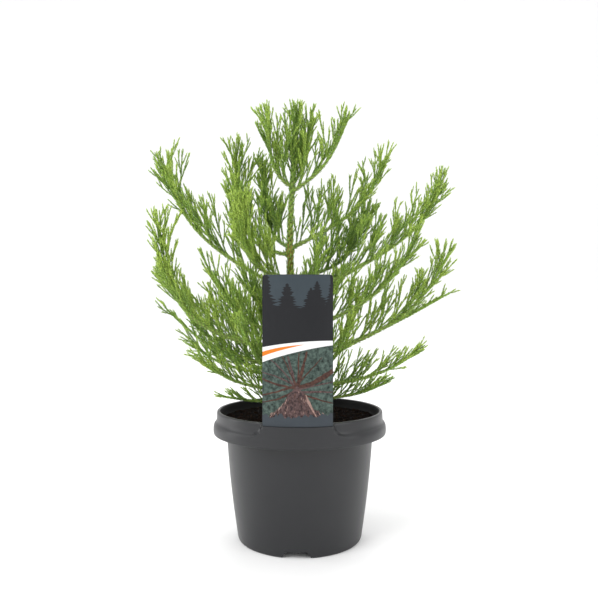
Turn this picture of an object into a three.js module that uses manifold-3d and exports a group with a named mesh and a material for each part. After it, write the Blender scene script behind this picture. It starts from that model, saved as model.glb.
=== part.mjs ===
// A young giant sequoia in a nursery pot, with the plant label in its rim pocket.
// Millimetres, +Z up. The origin is the centre of the pot's flat underside.
// +X is the tree's right as the label is read, and -Y is the label's side.
import * as THREE from 'three';
import Module from 'manifold-3d';
import { mergeVertices } from 'three/addons/utils/BufferGeometryUtils.js';

const wasm = await Module();
wasm.setup();

// Driving sizes: pot
const potHeight = 140;
const wallThickness = 2;
const footRadius = 65.6;        // flat ring the pot stands on
const wallBottomRadius = 67.9;  // outer wall, worked down to the ground
const wallFlare = 0.151;        // growth of the wall's radius with height
const wallBulge = 0.00035;      // slows that growth towards the top
const shoulderHeight = 116;     // where the wall turns out under the collar
const bandRadius = 91.3;        // upper band of the collar
const skirtRadius = 95;         // lower band of the collar, the widest part
const mouthRadius = 87.3;
const potSegments = 44;

// Driving sizes: drain notches in the pot's foot
const notchCount = 3;
const notchTurn = -92.7;        // degrees, azimuth of the one under the label
const notchTopWidth = 22;
const notchBottomWidth = 30;
const notchHeight = 6.9;
const notchDepth = 14;

// Driving sizes: label and its pocket
const labelTurn = -91.4;        // degrees
const labelRadius = 93.15;      // the card is bent to the collar's curve
const labelThickness = 0.7;
const labelHalfWidth = 35.3;
const labelFoot = 123.8;
const labelTop = 285.5;
const labelCorner = 3;
const pocketTop = 138;

// Driving sizes: soil and trunk
const soilSegments = 28;
const soilEdge = 130.4;
const soilCentre = 132.5;
const trunkFoot = 132.8;
const trunkTip = 474;
const trunkFootRadius = 5.2;
const trunkTipRadius = 0.8;
const flareRadius = 4.2;
const flareHeight = 7;
const upperWhorl = 386;
const lowerWhorl = 315;
const whorlSwelling = 1.3;

const clearance = 0.3;          // gap left between neighbouring pieces
const limbSides = 6;
const limbStations = 4;
const limbTipRadius = 0.9;
const massSides = 8;
const massStations = 6;
const massUnevenness = 0.13;
const bend = 0.85;              // how late a limb turns up: 0.67 is an even curve, 1 a corner

// Every limb leaves the trunk at a height, heads off at an azimuth (0 is right, 90 is away from the
// label, 180 is left) and climbs from its start slope to its end slope over its reach and rise.
// Its foliage is one plume or more, between two parts of the limb's run: up is how far the shoots
// stand over the limb, under how far they hang outside it at the tip, side the half breadth, and
// blunt how full the plume still is at its tip. A limb with no radius is hidden in its plume.
const limbs = [
  { name: 'top_right', height: 381, azimuth: -22, reach: 65, rise: 74, start: 28, end: 66, radius: 1.9,
    plumes: [{ from: 0.2, to: 1, up: 32, side: 13, under: 13, blunt: 0.45 }] },
  { name: 'upper_right', height: 317.5, azimuth: 22, reach: 117, rise: 106.5, start: 26, end: 72, radius: 2.3,
    plumes: [{ from: 0.16, to: 1, up: 42, side: 14, under: 9, blunt: 0.5 }] },
  { name: 'upper_left', height: 311, azimuth: 160, reach: 66, rise: 123, start: 8, end: 88, radius: 2.2,
    plumes: [{ from: 0.38, to: 1, up: 33, side: 16, under: 14, blunt: 0.75 }] },
  { name: 'front_upper_left', height: 284, azimuth: 230, reach: 80, rise: 70, start: 6, end: 84,
    radius: 2.2, plumes: [{ from: 0.18, to: 1, up: 30, side: 15, under: 10, blunt: 0.55 }] },
  { name: 'mid_right', height: 258, azimuth: 14, reach: 180, rise: 142, start: 26, end: 76, radius: 2.8,
    plumes: [{ from: 0.36, to: 1, up: 56, side: 16, under: 11, blunt: 0.45 }] },
  { name: 'mid_left', height: 268, azimuth: 174, reach: 150, rise: 148, start: 28, end: 66, radius: 2.8,
    plumes: [
      { from: 0.3, to: 0.63, up: 58, side: 12, under: 5, blunt: 0.8 },
      { from: 0.636, to: 1, up: 52, side: 15, under: 8, blunt: 0.8 },
    ] },
  { name: 'left', height: 203, azimuth: 202, reach: 152, rise: 136, start: 10, end: 84, radius: 3,
    plumes: [{ from: 0.4, to: 1, up: 48, side: 16, under: 18, blunt: 0.45 }] },
  { name: 'right', height: 222, azimuth: -24, reach: 140, rise: 101, start: 20, end: 60, radius: 2.7,
    plumes: [{ from: 0.3, to: 1, up: 38, side: 12, under: 6, blunt: 0.35 }] },
  { name: 'low_left', height: 182, azimuth: 170, reach: 154, rise: 105, start: 10, end: 58, radius: 3,
    plumes: [{ from: 0.28, to: 1, up: 52, side: 14, under: 20, blunt: 0.4 }] },
  { name: 'low_right', height: 188, azimuth: -8, reach: 175, rise: 128, start: 20, end: 66, radius: 3,
    plumes: [
      { from: 0.28, to: 0.6, up: 42, side: 13, under: 5, blunt: 0.85 },
      { from: 0.606, to: 1, up: 40, side: 13, under: 14, blunt: 0.5 },
    ] },
  { name: 'inner_left', height: 225, azimuth: 212, reach: 97, rise: 64, start: 4, end: 62, radius: 2.2,
    plumes: [{ from: 0.3, to: 1, up: 32, side: 11, under: 7, blunt: 0.45 }] },
  { name: 'back_upper_left', height: 320, azimuth: 124, reach: 58, rise: 98, start: 14, end: 84,
    radius: 1.9, plumes: [{ from: 0.26, to: 1, up: 27, side: 15, under: 14, blunt: 0.45 }] },
  { name: 'back_right', height: 284, azimuth: 40, reach: 120, rise: 72, start: 10, end: 66, radius: 2.4,
    plumes: [{ from: 0.26, to: 1, up: 42, side: 17, under: 8, blunt: 0.45 }] },
  { name: 'lower_left', height: 174, azimuth: 156, reach: 134, rise: 37, start: 4, end: 42, radius: 2.5,
    plumes: [{ from: 0.3, to: 1, up: 24, side: 14, under: 7, blunt: 0.4 }] },
  { name: 'base_left', height: 160, azimuth: 199, reach: 112, rise: 39, start: 6, end: 40, radius: 2.4,
    plumes: [{ from: 0.3, to: 1, up: 18, side: 13, under: 7, blunt: 0.4 }] },
  { name: 'base_right', height: 162, azimuth: -14, reach: 134, rise: 44, start: 8, end: 36, radius: 2.5,
    plumes: [{ from: 0.3, to: 1, up: 18, side: 12, under: 7, blunt: 0.4 }] },
  { name: 'rim_right', height: 149, azimuth: 10, reach: 104, rise: 18, start: 2, end: 26, radius: 2,
    plumes: [{ from: 0.34, to: 1, up: 13, side: 18, under: 5, blunt: 0.5 }] },
  { name: 'back_low', height: 168, azimuth: 76, reach: 124, rise: 58, start: 8, end: 56, radius: 2.6,
    plumes: [{ from: 0.28, to: 1, up: 24, side: 19, under: 8, blunt: 0.5 }] },
  { name: 'back_mid', height: 214, azimuth: 100, reach: 112, rise: 52, start: 6, end: 58, radius: 2.6,
    plumes: [{ from: 0.3, to: 1, up: 20, side: 19, under: 8, blunt: 0.5 }] },
  { name: 'back_left', height: 190, azimuth: 130, reach: 124, rise: 84, start: 12, end: 64, radius: 2.6,
    plumes: [{ from: 0.3, to: 1, up: 30, side: 18, under: 8, blunt: 0.5 }] },
  { name: 'back_low_right', height: 184, azimuth: 50, reach: 126, rise: 80, start: 12, end: 62,
    radius: 2.6, plumes: [{ from: 0.3, to: 1, up: 30, side: 18, under: 8, blunt: 0.5 }] },
  { name: 'front', height: 208, azimuth: -84, reach: 62, rise: 50, start: 6, end: 66, radius: 0,
    plumes: [{ from: 0.06, to: 1, up: 18, side: 18, under: 7, blunt: 0.45 }] },
  { name: 'leader_left', height: 386, azimuth: 205, reach: 31, rise: 88, start: 26, end: 86, radius: 0,
    plumes: [{ from: 0.03, to: 1, up: 16, side: 12, under: 16, blunt: 0.6 }] },
  { name: 'leader_right', height: 389, azimuth: 30, reach: 25, rise: 93, start: 50, end: 82, radius: 0,
    plumes: [{ from: 0.04, to: 1, up: 11, side: 12, under: 9, blunt: 0.6 }] },
  { name: 'far_right', height: 190, azimuth: -3, reach: 182, rise: 84, start: 20, end: 30, radius: 0,
    plumes: [{ from: 0.66, to: 1, up: 10, side: 10, under: 6, blunt: 0.4 }] },
  { name: 'stem_right', height: 262, azimuth: -40, reach: 40, rise: 58, start: 24, end: 84, radius: 0,
    plumes: [{ from: 0.06, to: 1, up: 11, side: 9, under: 7, blunt: 0.5 }] },
  { name: 'near_left', height: 238, azimuth: 214, reach: 58, rise: 46, start: 10, end: 70, radius: 0,
    plumes: [{ from: 0.06, to: 1, up: 26, side: 14, under: 8, blunt: 0.6 }] },
  { name: 'far_inner_right', height: 238, azimuth: 30, reach: 71, rise: 60, start: 16, end: 66,
    radius: 0, plumes: [{ from: 0.06, to: 1, up: 24, side: 14, under: 8, blunt: 0.6 }] },
  { name: 'front_left', height: 178, azimuth: -126, reach: 88, rise: 52, start: 8, end: 56, radius: 0,
    plumes: [{ from: 0.06, to: 1, up: 22, side: 14, under: 7, blunt: 0.4 }] },
  { name: 'front_right', height: 176, azimuth: -52, reach: 86, rise: 52, start: 8, end: 56, radius: 0,
    plumes: [{ from: 0.06, to: 1, up: 22, side: 14, under: 7, blunt: 0.4 }] },
  { name: 'rim_left', height: 149, azimuth: 176, reach: 83, rise: 4, start: -3, end: 10, radius: 0,
    plumes: [{ from: 0.06, to: 1, up: 10, side: 16, under: 5, blunt: 0.4 }] },
];

const finishes = {
  pot: new THREE.MeshStandardMaterial({ color: 0x45474b, roughness: 0.6, metalness: 0 }),
  soil: new THREE.MeshStandardMaterial({ color: 0x30261f, roughness: 0.95, metalness: 0 }),
  card: new THREE.MeshStandardMaterial({ color: 0x3a3d41, roughness: 0.4, metalness: 0 }),
  bark: new THREE.MeshStandardMaterial({ color: 0x8c8a4a, roughness: 0.8, metalness: 0 }),
  foliage: new THREE.MeshStandardMaterial({ color: 0x7f9a50, roughness: 0.7, metalness: 0 }),
};

const radians = (degrees) => degrees * Math.PI / 180;
const lerp = (a, b, t) => a + (b - a) * t;
const up = new THREE.Vector3(0, 0, 1);

// The same uneven number between -1 and 1 for the same seed, every time
function uneven(seed) {
  const s = Math.sin(seed * 127.1 + 311.7) * 43758.5453;
  return (s - Math.floor(s)) * 2 - 1;
}

// Solids and meshes

function toSolid(geometry) {
  const bare = geometry.clone();
  bare.deleteAttribute('normal');
  bare.deleteAttribute('uv');
  const merged = mergeVertices(bare, 1e-4);
  return new wasm.Manifold(new wasm.Mesh({
    numProp: 3,
    vertProperties: new Float32Array(merged.attributes.position.array),
    triVerts: new Uint32Array(merged.index.array),
  }));
}

function toGeometry(solid) {
  const { vertProperties, triVerts } = solid.getMesh();
  const geometry = new THREE.BufferGeometry();
  geometry.setAttribute('position', new THREE.BufferAttribute(vertProperties, 3));
  geometry.setIndex(new THREE.BufferAttribute(triVerts, 1));
  geometry.computeVertexNormals();
  return geometry;
}

// A closed skin over a row of rings, with a point at the middle of each end
function loft(rings, firstEnd, lastEnd) {
  const sides = rings[0].length;
  const points = [...rings.flat(), firstEnd, lastEnd];
  const faces = [];
  for (let i = 0; i + 1 < rings.length; i++) {
    for (let j = 0; j < sides; j++) {
      const k = (j + 1) % sides;
      const [a, b, c, d] = [i * sides + j, i * sides + k, (i + 1) * sides + k, (i + 1) * sides + j];
      faces.push(a, b, c, a, c, d);
    }
  }
  const last = (rings.length - 1) * sides;
  for (let j = 0; j < sides; j++) {
    const k = (j + 1) % sides;
    faces.push(points.length - 2, k, j);
    faces.push(points.length - 1, last + j, last + k);
  }
  const geometry = new THREE.BufferGeometry().setFromPoints(points);
  geometry.setIndex(faces);
  return outwards(geometry);
}

// Turns a skin over if its faces point inwards
function outwards(geometry) {
  const { position } = geometry.attributes;
  const corner = (i) => new THREE.Vector3().fromBufferAttribute(position, geometry.index.getX(i));
  let volume = 0;
  for (let i = 0; i < geometry.index.count; i += 3) {
    volume += corner(i).dot(corner(i + 1).cross(corner(i + 2)));
  }
  if (volume < 0) geometry.setIndex(Array.from(geometry.index.array).reverse());
  return geometry;
}

function middle(ring) {
  const sum = ring.reduce((total, point) => total.add(point), new THREE.Vector3());
  return sum.divideScalar(ring.length);
}

function largestBody(solid) {
  const bodies = solid.decompose();
  return bodies.reduce((best, body) => (body.volume() > best.volume() ? body : best));
}

function boxesMeet(a, b) {
  const [p, q] = [a.boundingBox(), b.boundingBox()];
  return [0, 1, 2].every((axis) => p.min[axis] < q.max[axis] && q.min[axis] < p.max[axis]);
}

// A solid with each grown neighbour it meets taken out of it
function clearOf(solid, neighbours) {
  const near = neighbours.filter((neighbour) => boxesMeet(solid, neighbour));
  return near.reduce((rest, neighbour) => rest.subtract(neighbour), solid);
}

function placeRound(geometry, azimuth, distance) {
  const a = radians(azimuth);
  const outward = new THREE.Vector3(Math.cos(a), Math.sin(a), 0);
  const across = new THREE.Vector3(-Math.sin(a), Math.cos(a), 0);
  const place = new THREE.Matrix4().makeBasis(across, up, outward);
  place.setPosition(outward.clone().multiplyScalar(distance));
  return geometry.applyMatrix4(place);
}

// Pot

const wallRadius = (z) => wallBottomRadius + wallFlare * z - wallBulge * z * z;

function spin(profile, segments) {
  const points = profile.map(([r, z]) => new THREE.Vector2(r, z));
  const geometry = new THREE.LatheGeometry([...points, points[0]], segments);
  return toSolid(geometry.rotateX(Math.PI / 2));
}

function notchSolid(azimuth, grow, depth) {
  const foot = notchBottomWidth / 2 + grow;
  const head = notchTopWidth / 2 + grow;
  const outline = new THREE.Shape([
    new THREE.Vector2(-foot, -1), new THREE.Vector2(foot, -1),
    new THREE.Vector2(head, notchHeight + grow), new THREE.Vector2(-head, notchHeight + grow),
  ]);
  const channel = new THREE.ExtrudeGeometry(outline, { depth, bevelEnabled: false });
  return toSolid(placeRound(channel, azimuth, footRadius - notchDepth - grow));
}

const notchTurns = Array.from({ length: notchCount }, (_, i) => notchTurn + (360 / notchCount) * i);

// A slice of a ring about the pot's axis, centred on the label
function rimSlice(inner, outer, halfAngle, from, to) {
  const [a, b] = [radians(labelTurn - halfAngle), radians(labelTurn + halfAngle)];
  const outline = new THREE.Shape();
  outline.absarc(0, 0, outer, a, b, false);
  outline.absarc(0, 0, inner, b, a, true);
  outline.closePath();
  const depth = to - from;
  const slice = new THREE.ExtrudeGeometry(outline, { depth, bevelEnabled: false, curveSegments: 10 });
  return toSolid(slice.translate(0, 0, from));
}

function makePot() {
  const wallLevels = [38, 77, shoulderHeight];
  const inside = wallLevels.map((z) => [wallRadius(z) - wallThickness, z + 0.6]).reverse();
  const outside = [
    [0, 0], [footRadius, 0], [footRadius + 1.9, 0.8], [wallRadius(2.6), 2.6],
    ...wallLevels.map((z) => [wallRadius(z), z]),
  ];
  let pot = spin([
    ...outside,
    [84.8, 124.6], [88.6, 128.2], [90.4, 127.4], [91.6, 123],
    [skirtRadius - 2, 116.4], [skirtRadius - 0.8, 115.2], [skirtRadius, 117.8], [skirtRadius - 0.2, 122],
    [skirtRadius - 1, 125.4], [bandRadius + 0.9, 128], [bandRadius + 0.2, 131],
    [bandRadius, 138.8], [bandRadius - 1, potHeight], [mouthRadius + 0.6, potHeight],
    [mouthRadius, 138.6], [86.8, 130.4], [83, 126.2],
    ...inside,
    [wallRadius(3) - wallThickness, 3.4], [footRadius - 0.6, wallThickness], [0, wallThickness],
  ], potSegments);
  // each notch is a channel with walls of its own, inside the pot's outer shape
  const core = spin([...outside, [0, shoulderHeight]], potSegments);
  const channelRun = notchDepth + 10;
  for (const turn of notchTurns) pot = pot.add(notchSolid(turn, wallThickness, channelRun).intersect(core));
  for (const turn of notchTurns) pot = pot.subtract(notchSolid(turn, 0, channelRun));
  pot = pot.add(rimSlice(bandRadius - 0.6, skirtRadius + 0.5, 24, 120.5, pocketTop));
  return pot.subtract(rimSlice(92.35, 93.95, 23, labelFoot - clearance, potHeight + 5));
}

// Soil, filling the pot to just under its rim

function makeSoil() {
  const fit = wallThickness + clearance;
  const side = [3.6, 40, 78, shoulderHeight].map((z) => [wallRadius(z) - fit, z + 0.6]);
  let soil = spin([
    [0, fit], [footRadius - 1.2, fit], ...side,
    [82.5, 126.2], [86.3, soilEdge], [60, soilEdge + 1.3], [14, soilCentre], [0, soilCentre],
  ], soilSegments);
  for (const turn of notchTurns) soil = soil.subtract(notchSolid(turn, fit, notchDepth + 20));
  return soil;
}

// Label: a bent card with rounded top corners

function makeLabel(grow) {
  const halfAngle = Math.asin(labelHalfWidth / labelRadius);
  const edges = [0, 0.07, 0.3, 0.65, 1].map((part) => part * labelCorner / labelRadius);
  const panels = [-0.5, 0, 0.5].map((part) => part * halfAngle);
  const turns = [...edges.map((e) => e - halfAngle), ...panels, ...edges.map((e) => halfAngle - e).reverse()];
  const rings = turns.map((turn) => {
    const toEdge = Math.min((halfAngle - Math.abs(turn)) * labelRadius, labelCorner);
    const drop = labelCorner - Math.sqrt(labelCorner ** 2 - (labelCorner - toEdge) ** 2);
    const a = radians(labelTurn) + turn * (1 + grow / labelHalfWidth);
    const half = labelThickness / 2 + grow;
    const at = (r, z) => new THREE.Vector3(r * Math.cos(a), r * Math.sin(a), z);
    const [inner, outer, top] = [labelRadius - half, labelRadius + half, labelTop - drop + grow];
    return [at(inner, labelFoot), at(outer, labelFoot), at(outer, top), at(inner, top)];
  });
  return toSolid(loft(rings, middle(rings[0]), middle(rings[rings.length - 1])));
}

// Trunk: leans left to the lower whorl and back to the middle at the tip

const trunkLine = new THREE.CatmullRomCurve3([
  new THREE.Vector3(-3, 0, trunkFoot), new THREE.Vector3(-8, 0, 225),
  new THREE.Vector3(-10.8, 0, lowerWhorl), new THREE.Vector3(-8.4, 0, upperWhorl),
  new THREE.Vector3(-3.2, 0, trunkTip),
]);

function trunkRadius(z) {
  const run = Math.min((z - trunkFoot) / (trunkTip - trunkFoot), 1);
  const taper = trunkTipRadius + (trunkFootRadius - trunkTipRadius) * (1 - run) ** 0.8;
  const flare = flareRadius * Math.exp(-(z - trunkFoot) / flareHeight);
  const whorls = [lowerWhorl, upperWhorl].map((level) => Math.exp(-(((z - level) / 5) ** 2)));
  return taper + flare + whorlSwelling * (whorls[0] + whorls[1] * 0.6);
}

// The point of the trunk's line at a height
function trunkAt(z) {
  let [low, high] = [0, 1];
  for (let i = 0; i < 30; i++) {
    const mid = (low + high) / 2;
    if (trunkLine.getPoint(mid).z < z) low = mid;
    else high = mid;
  }
  return trunkLine.getPoint(low);
}

function makeTrunk(grow) {
  const levels = [
    trunkFoot, trunkFoot + 3, trunkFoot + 8, trunkFoot + 18, 180, 220, 265, lowerWhorl - 8, lowerWhorl,
    lowerWhorl + 8, 350, upperWhorl - 8, upperWhorl, upperWhorl + 8, 430, trunkTip,
  ];
  const rings = levels.map((z, level) => Array.from({ length: 10 }, (_, j) => {
    const a = j * Math.PI / 5;
    const centre = trunkAt(z);
    const flutes = 1 + 0.12 * uneven(j + 3) * Math.exp(-(z - trunkFoot) / 12);
    const r = trunkRadius(z) * flutes + grow;
    const end = level === levels.length - 1 ? grow : 0;
    return new THREE.Vector3(centre.x + r * Math.cos(a), centre.y + r * Math.sin(a), z + end);
  }));
  return toSolid(loft(rings, middle(rings[0]), middle(rings[rings.length - 1])));
}

// Limbs and their plumes

function limbLine({ height, azimuth, reach, rise, start, end }) {
  const outward = new THREE.Vector3(Math.cos(radians(azimuth)), Math.sin(radians(azimuth)), 0);
  const foot = trunkAt(height);
  const [a, b] = [radians(start), radians(end)];
  // where the start slope and the end slope would meet
  const run = (reach * Math.sin(b) - rise * Math.cos(b)) / Math.sin(b - a);
  const [cornerOut, cornerUp] = [run * Math.cos(a), run * Math.sin(a)];
  const at = (out, high) => foot.clone().addScaledVector(outward, out).addScaledVector(up, high);
  const line = new THREE.CubicBezierCurve3(
    at(0, 0),
    at(cornerOut * bend, cornerUp * bend),
    at(lerp(reach, cornerOut, bend), lerp(rise, cornerUp, bend)),
    at(reach, rise),
  );
  return { line, outward, across: new THREE.Vector3(-outward.y, outward.x, 0) };
}

function limbSolid(limb, grow) {
  const { line, across } = limbLine(limb);
  const last = limb.plumes[0].from;
  const rings = Array.from({ length: limbStations }, (_, i) => {
    const t = last * i / (limbStations - 1);
    const along = line.getTangentAt(t);
    const rise = new THREE.Vector3().crossVectors(along, across).negate();
    const r = lerp(limb.radius, Math.max(limbTipRadius, limb.radius * 0.5), t / last) + grow;
    const centre = line.getPointAt(t).addScaledVector(along, i === limbStations - 1 ? grow : 0);
    return Array.from({ length: limbSides }, (_, j) => {
      const a = j * 2 * Math.PI / limbSides;
      return centre.clone().addScaledVector(across, r * Math.cos(a)).addScaledVector(rise, r * Math.sin(a));
    });
  });
  return toSolid(loft(rings, middle(rings[0]), middle(rings[rings.length - 1])));
}

// How full a plume is along its run: thin where it starts and fullest a third of the way
function fullness(part, blunt) {
  const peak = 0.36;
  if (part < peak) return lerp(0.32, 1, Math.sin(part / peak * Math.PI / 2));
  return lerp(1, blunt, ((part - peak) / (1 - peak)) ** 1.5);
}

function plumeSolid(limb, plume, seed, grow) {
  const { line, outward, across } = limbLine(limb);
  const { from, to, side } = plume;
  const shootTilt = [92, Math.max(94, lerp(limb.start, limb.end, to) + 40)];
  const ends = [];
  const rings = Array.from({ length: massStations }, (_, i) => {
    const part = i / (massStations - 1);
    const t = lerp(from, to, part);
    const along = line.getTangentAt(t);
    const tilt = radians(lerp(...shootTilt, part));
    const shoot = outward.clone().multiplyScalar(Math.cos(tilt)).addScaledVector(up, Math.sin(tilt));
    const full = fullness(part, plume.blunt);
    const [over, under] = [plume.up * full + grow, lerp(3.5, plume.under, part * part) + grow];
    const breadth = side * lerp(0.45, 1, full) + grow;
    const push = i === 0 ? clearance - grow : (i === massStations - 1 ? grow : 0);
    const centre = line.getPointAt(t).addScaledVector(along, push)
      .addScaledVector(shoot, (over - under) / 2);
    if (i === 0) ends.push(centre.clone());
    if (i === massStations - 1) ends.push(centre.clone().addScaledVector(along, over * 0.3));
    return Array.from({ length: massSides }, (_, j) => {
      const a = (j + 0.5 * (i % 2)) * 2 * Math.PI / massSides;
      const rough = 1 + massUnevenness * uneven(seed * 97 + i * 13 + j);
      return centre.clone()
        .addScaledVector(across, breadth * Math.cos(a) * rough)
        .addScaledVector(shoot, (over + under) / 2 * Math.sin(a) * rough);
    });
  });
  return toSolid(loft(rings, ends[0], ends[1]));
}

// The leader's own foliage stands round the top of the trunk
function leaderSolid(grow) {
  const levels = [394, 408, 428, 450, 466, 476];
  const widths = [6, 13, 16, 17, 14, 8];
  const rings = levels.map((z, i) => Array.from({ length: massSides }, (_, j) => {
    const a = j * 2 * Math.PI / massSides;
    const r = widths[i] * (1 + massUnevenness * uneven(i * 17 + j)) + grow;
    const { x } = trunkAt(Math.min(z, trunkTip));
    return new THREE.Vector3(x + r * Math.cos(a), r * Math.sin(a) * 1.15, z);
  }));
  const tip = middle(rings[rings.length - 1]).addScaledVector(up, 7 + grow);
  return toSolid(loft(rings, middle(rings[0]).addScaledVector(up, -grow), tip));
}

// The whole plant in its pot

const tree = new THREE.Group();
tree.name = 'potted_giant_sequoia';

function addPiece(name, solid, finish) {
  const mesh = new THREE.Mesh(toGeometry(solid), finish);
  mesh.name = name;
  tree.add(mesh);
}

addPiece('pot', makePot(), finishes.pot);
addPiece('soil', makeSoil(), finishes.soil);
addPiece('plant_label', makeLabel(0), finishes.card);
addPiece('trunk', makeTrunk(0), finishes.bark);

const taken = [makeTrunk(clearance), makeLabel(clearance)];

for (const limb of limbs.filter(({ radius }) => radius > 0)) {
  const solid = largestBody(clearOf(limbSolid(limb, 0), taken));
  addPiece(`bough_${limb.name}`, solid, finishes.bark);
  taken.push(limbSolid(limb, clearance));
}

addPiece('foliage_leader', largestBody(clearOf(leaderSolid(0), taken)), finishes.foliage);
taken.push(leaderSolid(clearance));

limbs.forEach((limb, row) => limb.plumes.forEach((plume, part) => {
  const seed = row * 5 + part + 1;
  const solid = largestBody(clearOf(plumeSolid(limb, plume, seed, 0), taken));
  const suffix = part ? '_outer' : '';
  addPiece(`foliage_${limb.name}${suffix}`, solid, finishes.foliage);
  taken.push(plumeSolid(limb, plume, seed, clearance));
}));

export default tree;
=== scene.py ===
# Potted giant sequoia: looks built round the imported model. +Z up, label towards -Y. The plant, pot
# and label have their sizes in mm, and the stage, lights and camera in metres.
import math
import random

import bmesh
import bpy
import numpy as np
from mathutils import Matrix, Vector, noise
from mathutils.bvhtree import BVHTree


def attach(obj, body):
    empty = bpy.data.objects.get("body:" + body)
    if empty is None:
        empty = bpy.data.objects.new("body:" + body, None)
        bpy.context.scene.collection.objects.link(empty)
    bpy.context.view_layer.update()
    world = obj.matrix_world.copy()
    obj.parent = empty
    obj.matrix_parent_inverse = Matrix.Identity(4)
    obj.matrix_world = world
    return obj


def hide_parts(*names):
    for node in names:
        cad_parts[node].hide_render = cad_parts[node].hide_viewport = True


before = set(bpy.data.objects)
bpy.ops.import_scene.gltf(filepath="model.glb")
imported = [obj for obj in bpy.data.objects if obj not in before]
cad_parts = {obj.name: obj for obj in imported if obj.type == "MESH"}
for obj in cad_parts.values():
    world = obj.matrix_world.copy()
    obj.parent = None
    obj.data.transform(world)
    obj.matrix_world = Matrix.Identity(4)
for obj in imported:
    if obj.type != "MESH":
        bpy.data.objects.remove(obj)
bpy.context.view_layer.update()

mm = 0.001
goldenAngle = 2.39996   # radians: from one twig or leaf to the next round a stem
upright = np.array((0, 0, 1.0))


def report(text):
    print("scene:", text, flush=True)


def srgb(red, green, blue, alpha=1.0):
    # display values 0..255 to the linear colour that a socket takes
    def lin(c):
        c = c / 255
        return c / 12.92 if c <= 0.04045 else ((c + 0.055) / 1.055) ** 2.4
    return (lin(red), lin(green), lin(blue), alpha)


def deselect():
    if bpy.context.object and bpy.context.object.mode != "OBJECT":
        bpy.ops.object.mode_set(mode="OBJECT")
    bpy.ops.object.select_all(action="DESELECT")


def activate(obj):
    deselect()
    obj.select_set(True)
    bpy.context.view_layer.objects.active = obj


def meshObject(name, verts, faces):
    mesh = bpy.data.meshes.new(name)
    mesh.from_pydata(verts, [], faces)
    mesh.update()
    obj = bpy.data.objects.new(name, mesh)
    bpy.context.collection.objects.link(obj)
    return obj


def arrayObject(name, verts, tris):
    # a joined mesh straight from arrays of corners and triangles
    mesh = bpy.data.meshes.new(name)
    mesh.vertices.add(len(verts))
    mesh.vertices.foreach_set("co", np.ascontiguousarray(verts, dtype=np.float32).ravel())
    mesh.loops.add(len(tris) * 3)
    mesh.loops.foreach_set("vertex_index", np.ascontiguousarray(tris, dtype=np.int32).ravel())
    mesh.polygons.add(len(tris))
    mesh.polygons.foreach_set("loop_start", np.arange(0, len(tris) * 3, 3, dtype=np.int32))
    mesh.update(calc_edges=True)
    mesh.validate()
    obj = bpy.data.objects.new(name, mesh)
    bpy.context.collection.objects.link(obj)
    return obj


def applyModifier(obj, kind, **values):
    activate(obj)
    modifier = obj.modifiers.new(kind.title(), kind)
    for key, value in values.items():
        setattr(modifier, key, value)
    bpy.ops.object.modifier_apply(modifier=modifier.name)


def applyPlace(obj):
    activate(obj)
    bpy.ops.object.transform_apply(location=True, rotation=True, scale=True)


def smooth(obj, degrees):
    activate(obj)
    bpy.ops.object.shade_smooth_by_angle(angle=math.radians(degrees))


def faceOut(obj):
    # recalculates the normals of a closed mesh
    activate(obj)
    bpy.ops.object.mode_set(mode="EDIT")
    bpy.ops.mesh.select_all(action="SELECT")
    bpy.ops.mesh.normals_make_consistent(inside=False)
    bpy.ops.object.mode_set(mode="OBJECT")


def looksInward(polygon):
    # whether a face looks at the pot's axis, more than 30 degrees off upright
    at, facing = polygon.center, polygon.normal
    return at.x * facing.x + at.y * facing.y < -0.5 * math.hypot(at.x, at.y)


def finishPiece(obj, materials, slot, *nodes):
    for material in materials if isinstance(materials, list) else [materials]:
        obj.data.materials.append(material)
    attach(obj, "root")
    if nodes:
        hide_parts(*nodes)


# Shared shader node groups

def newGroup(name, inputs, outputs):
    group = bpy.data.node_groups.new(name, "ShaderNodeTree")
    for label, kind, value in inputs:
        socket = group.interface.new_socket(label, in_out="INPUT", socket_type=kind)
        socket.default_value = value
    for label, kind in outputs:
        group.interface.new_socket(label, in_out="OUTPUT", socket_type=kind)
    return group, group.nodes.new("NodeGroupInput"), group.nodes.new("NodeGroupOutput")


def addNode(tree, kind, inputs=None, **values):
    node = tree.nodes.new(kind)
    for key, value in values.items():
        setattr(node, key, value)
    for key, value in (inputs or {}).items():
        node.inputs[key].default_value = value
    return node


def makeMottleGroup():
    # two tones of one colour, spread by a soft noise at a given scale
    group, given, result = newGroup("Mottle", [
        ("Colour", "NodeSocketColor", (0.5, 0.5, 0.5, 1)),
        ("Other", "NodeSocketColor", (0.3, 0.3, 0.3, 1)),
        ("Scale", "NodeSocketFloat", 200.0),
        ("Spread", "NodeSocketFloat", 0.5),
    ], [("Colour", "NodeSocketColor"), ("Mask", "NodeSocketFloat")])
    place = addNode(group, "ShaderNodeTexCoord")
    cloud = addNode(group, "ShaderNodeTexNoise", {"Detail": 3.0, "Roughness": 0.6})
    ramp = addNode(group, "ShaderNodeMapRange", {"From Min": 0.3, "From Max": 0.7})
    amount = addNode(group, "ShaderNodeMath", operation="MULTIPLY")
    mix = addNode(group, "ShaderNodeMix", data_type="RGBA")
    link = group.links.new
    link(place.outputs["Object"], cloud.inputs["Vector"])
    link(given.outputs["Scale"], cloud.inputs["Scale"])
    link(cloud.outputs["Fac"], ramp.inputs["Value"])
    link(ramp.outputs["Result"], amount.inputs[0])
    link(given.outputs["Spread"], amount.inputs[1])
    link(amount.outputs["Value"], mix.inputs["Factor"])
    link(given.outputs["Colour"], mix.inputs[6])
    link(given.outputs["Other"], mix.inputs[7])
    link(mix.outputs[2], result.inputs["Colour"])
    link(ramp.outputs["Result"], result.inputs["Mask"])
    return group


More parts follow.
